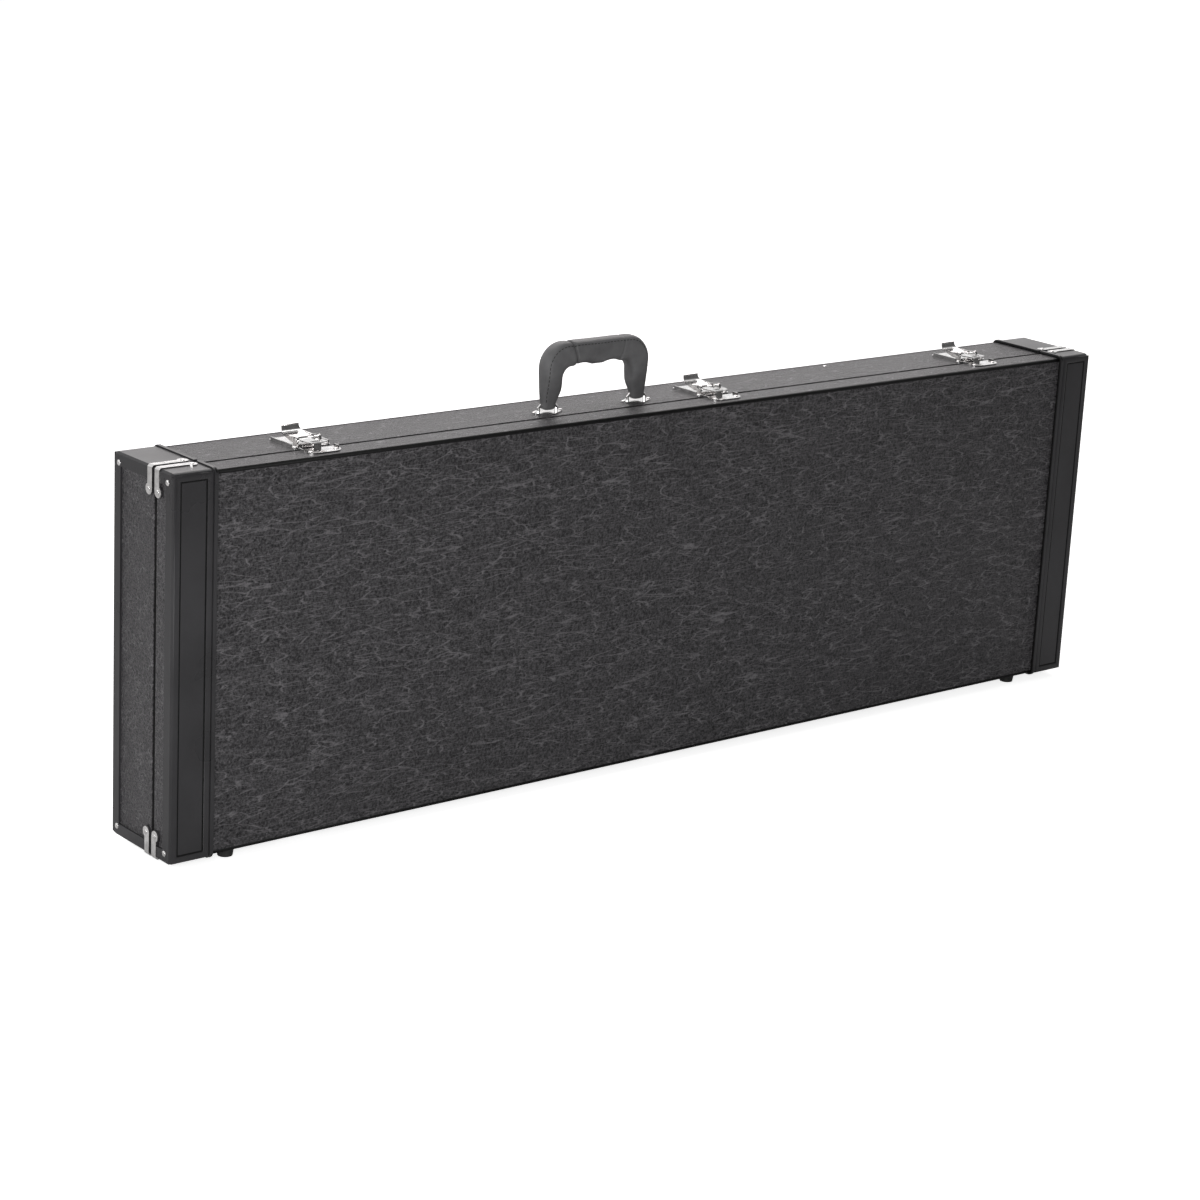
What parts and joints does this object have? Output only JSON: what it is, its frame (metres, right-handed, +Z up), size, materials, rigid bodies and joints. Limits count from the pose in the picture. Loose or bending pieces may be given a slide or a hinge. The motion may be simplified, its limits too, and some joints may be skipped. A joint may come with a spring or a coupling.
{
  "type": "bass guitar case",
  "caption": "Rectangular hard case for a bass guitar, with a hinged lid, draw latches, a folding handle and a padded inside.",
  "frame": {"origin": "on the ground plane, under the middle of the case", "axes": "+X along the case towards the headstock end, +Y from the lid to the back, +Z up through the handle"},
  "size_m": [1.24, 0.1108, 0.464],
  "materials": {
    "plywood": "unfinished",
    "grained_vinyl": "satin, wrinkled grain",
    "smooth_vinyl": "satin",
    "edging": "matt",
    "plush": "short pile",
    "nickel": "polished nickel",
    "foot_rubber": "matt",
    "handle_vinyl": "satin grain"
  },
  "bodies": {
    "base": {"base_cap_left": "smooth_vinyl", "base_cap_nails": "nickel", "base_cap_right": "smooth_vinyl", "base_clip_rivets": "nickel", "base_corner_clips": "nickel", "base_covering": "grained_vinyl", "base_feet": "foot_rubber", "base_hinge_leaves": "nickel", "base_hinge_rivets": "nickel", "base_lining": "plush", "base_rim": "edging", "base_shell": "plywood", "body_end_pad": "plush", "compartment_box": "plush", "compartment_rod": "nickel", "handle_brackets": "nickel", "handle_rivets": "nickel", "handle_staples": "nickel", "head_pad": "plush", "hinge_pins": "nickel", "latch_1_plate": "nickel", "latch_2_plate": "nickel", "latch_3_plate": "nickel", "latch_pivots": "nickel", "latch_rivets": "nickel", "neck_pad_lower": "plush", "neck_pad_upper": "plush", "neck_rest": "plush", "shoulder_pad_lower": "plush", "shoulder_pad_upper": "plush", "top_stud": "nickel"},
    "lid": {"lid_cap_left": "smooth_vinyl", "lid_cap_nails": "nickel", "lid_cap_right": "smooth_vinyl", "lid_clip_rivets": "nickel", "lid_corner_clips": "nickel", "lid_covering": "grained_vinyl", "lid_feet": "foot_rubber", "lid_hinge_leaves": "nickel", "lid_hinge_rivets": "nickel", "lid_lining": "plush", "lid_rim": "edging", "lid_shell": "plywood", "latch_1_catch": "nickel", "latch_2_catch": "nickel", "latch_3_catch": "nickel", "catch_rivets": "nickel"},
    "lever_1": {"latch_1_lever": "nickel", "latch_1_link_pin": "nickel"},
    "hook_1": {"latch_1_hook_plate": "nickel"},
    "lever_2": {"latch_2_lever": "nickel", "latch_2_link_pin": "nickel"},
    "hook_2": {"latch_2_hook_plate": "nickel"},
    "lever_3": {"latch_3_lever": "nickel", "latch_3_link_pin": "nickel"},
    "hook_3": {"latch_3_hook_plate": "nickel"},
    "handle": {"handle_grip": "handle_vinyl"},
    "compartment_lid": {"compartment_lid": "plush", "compartment_tab": "smooth_vinyl"}
  },
  "joints": [
    {"name": "lid_hinge", "type": "hinge", "parent": "base", "child": "lid", "pos_m": [0, -0.02, 0.0063], "axis": [1, 0, 0], "range_deg": [0, 165]},
    {"name": "lever_1_pivot", "type": "hinge", "parent": "base", "child": "lever_1", "pos_m": [-0.44, -0.007, 0.3974], "axis": [1, 0, 0], "range_deg": [-6.5, 83.5]},
    {"name": "hook_1_pivot", "type": "hinge", "parent": "lever_1", "child": "hook_1", "pos_m": [-0.44, 0.00219, 0.39623], "axis": [1, 0, 0], "range_deg": [-129.93, 10.57]},
    {"name": "lever_2_pivot", "type": "hinge", "parent": "base", "child": "lever_2", "pos_m": [0.072, -0.007, 0.3974], "axis": [1, 0, 0], "range_deg": [-6.5, 83.5]},
    {"name": "hook_2_pivot", "type": "hinge", "parent": "lever_2", "child": "hook_2", "pos_m": [0.072, 0.00219, 0.39623], "axis": [1, 0, 0], "range_deg": [-129.93, 10.57]},
    {"name": "lever_3_pivot", "type": "hinge", "parent": "base", "child": "lever_3", "pos_m": [0.462, -0.007, 0.3974], "axis": [1, 0, 0], "range_deg": [-6.5, 83.5]},
    {"name": "hook_3_pivot", "type": "hinge", "parent": "lever_3", "child": "hook_3", "pos_m": [0.462, 0.00219, 0.39623], "axis": [1, 0, 0], "range_deg": [-129.93, 10.57]},
    {"name": "handle_pivot", "type": "hinge", "parent": "base", "child": "handle", "pos_m": [-0.082, 0, 0.399], "axis": [1, 0, 0], "range_deg": [-84, 84]},
    {"name": "compartment_hinge", "type": "hinge", "parent": "base", "child": "compartment_lid", "pos_m": [0.095, -0.0113, 0.254], "axis": [1, 0, 0], "range_deg": [0, 100]}
  ],
  "couplings": [
    {"joint": "hook_1_pivot", "follows": "lever_1_pivot", "ratio": -1.55},
    {"joint": "hook_2_pivot", "follows": "lever_2_pivot", "ratio": -1.55},
    {"joint": "hook_3_pivot", "follows": "lever_3_pivot", "ratio": -1.55},
    {"joint": "compartment_hinge", "follows": "lid_hinge", "ratio": 0.6}
  ]
}
